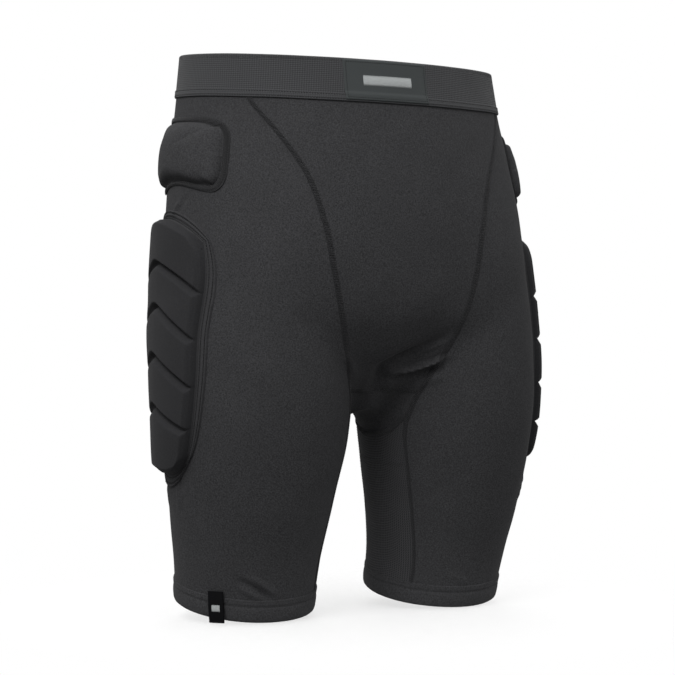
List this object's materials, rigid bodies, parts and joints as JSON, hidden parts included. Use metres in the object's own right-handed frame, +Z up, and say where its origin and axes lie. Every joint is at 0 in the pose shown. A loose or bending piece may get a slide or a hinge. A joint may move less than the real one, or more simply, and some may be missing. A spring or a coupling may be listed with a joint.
{
  "type": "padded impact shorts",
  "caption": "Close-fitting stretch shorts with elastic waistband, moulded segmented foam thigh pads, hip pads, a tailbone pad, mesh inner panels and folded hems.",
  "frame": {"origin": "centre of the waist opening, on the waistband's top edge line", "axes": "+Z up out of the waist opening, front of the shorts towards -Y, wearer's left towards +X"},
  "size_m": [0.3916, 0.2428, 0.508],
  "materials": {
    "shell_cloth": "matt stretch jersey",
    "mesh_cloth": "fine open mesh",
    "hem_cloth": "matt stretch jersey, folded",
    "waist_elastic": "ribbed woven elastic",
    "coverstitch": "thread",
    "seam_thread": "thread",
    "label_weave": "woven label",
    "mark_thread": "light thread",
    "tab_weave": "woven tape",
    "foam": "closed-cell foam",
    "pad_cover": "moulded matt cloth",
    "pad_backing": "knitted lining"
  },
  "bodies": {
    "pelvis": {"crotch_gusset": "shell_cloth", "front_panel": "shell_cloth", "gusset_back_seam": "seam_thread", "gusset_front_seam": "seam_thread", "label_mark": "mark_thread", "left_hip_pad_backing": "pad_backing", "left_hip_pad_cover": "shell_cloth", "left_hip_pad_foam": "foam", "right_hip_pad_backing": "pad_backing", "right_hip_pad_cover": "shell_cloth", "right_hip_pad_foam": "foam", "seat_panel": "shell_cloth", "tailbone_pad_backing": "pad_backing", "tailbone_pad_cover": "pad_cover", "tailbone_pad_foam_1": "foam", "tailbone_pad_foam_2": "foam", "tailbone_pad_foam_3": "foam", "waistband_coverstitch": "coverstitch", "waistband_elastic": "waist_elastic", "waistband_label": "label_weave"},
    "right_leg": {"right_back_seam": "seam_thread", "right_front_seam": "seam_thread", "right_gusset_thigh_seam": "seam_thread", "right_hem_band": "hem_cloth", "right_hem_coverstitch": "coverstitch", "right_inner_mesh_panel": "mesh_cloth", "right_side_panel": "shell_cloth", "right_thigh_pad_backing": "pad_backing", "right_thigh_pad_cover": "pad_cover", "right_thigh_pad_foam_1": "foam", "right_thigh_pad_foam_2": "foam", "right_thigh_pad_foam_3": "foam", "right_thigh_pad_foam_4": "foam", "right_thigh_pad_foam_5": "foam"},
    "left_leg": {"left_back_seam": "seam_thread", "left_front_seam": "seam_thread", "left_gusset_thigh_seam": "seam_thread", "left_hem_band": "hem_cloth", "left_hem_coverstitch": "coverstitch", "left_inner_mesh_panel": "mesh_cloth", "left_side_panel": "shell_cloth", "left_thigh_pad_backing": "pad_backing", "left_thigh_pad_cover": "pad_cover", "left_thigh_pad_foam_1": "foam", "left_thigh_pad_foam_2": "foam", "left_thigh_pad_foam_3": "foam", "left_thigh_pad_foam_4": "foam", "left_thigh_pad_foam_5": "foam"},
    "hem_tab": {"hem_tab": "tab_weave", "hem_tab_mark": "mark_thread"}
  },
  "joints": [
    {"name": "right_hip_flexion", "type": "hinge", "parent": "pelvis", "child": "right_leg", "pos_m": [-0.1, -0.02, -0.225], "axis": [-1, 0, 0], "range_deg": [-15, 30], "stiffness_Nm_per_rad": 0.4, "deforming": ["right_side_panel", "right_inner_mesh_panel", "right_front_seam", "right_back_seam", "right_gusset_thigh_seam"]},
    {"name": "left_hip_flexion", "type": "hinge", "parent": "pelvis", "child": "left_leg", "pos_m": [0.1, -0.02, -0.225], "axis": [-1, 0, 0], "range_deg": [-15, 30], "stiffness_Nm_per_rad": 0.4, "deforming": ["left_side_panel", "left_inner_mesh_panel", "left_front_seam", "left_back_seam", "left_gusset_thigh_seam"]},
    {"name": "hem_tab_flip", "type": "hinge", "parent": "right_leg", "child": "hem_tab", "pos_m": [-0.15039, -0.0489, -0.4724], "axis": [-0.6531, 0.7573, 0], "range_deg": [0, 120], "stiffness_Nm_per_rad": 0.0005}
  ]
}
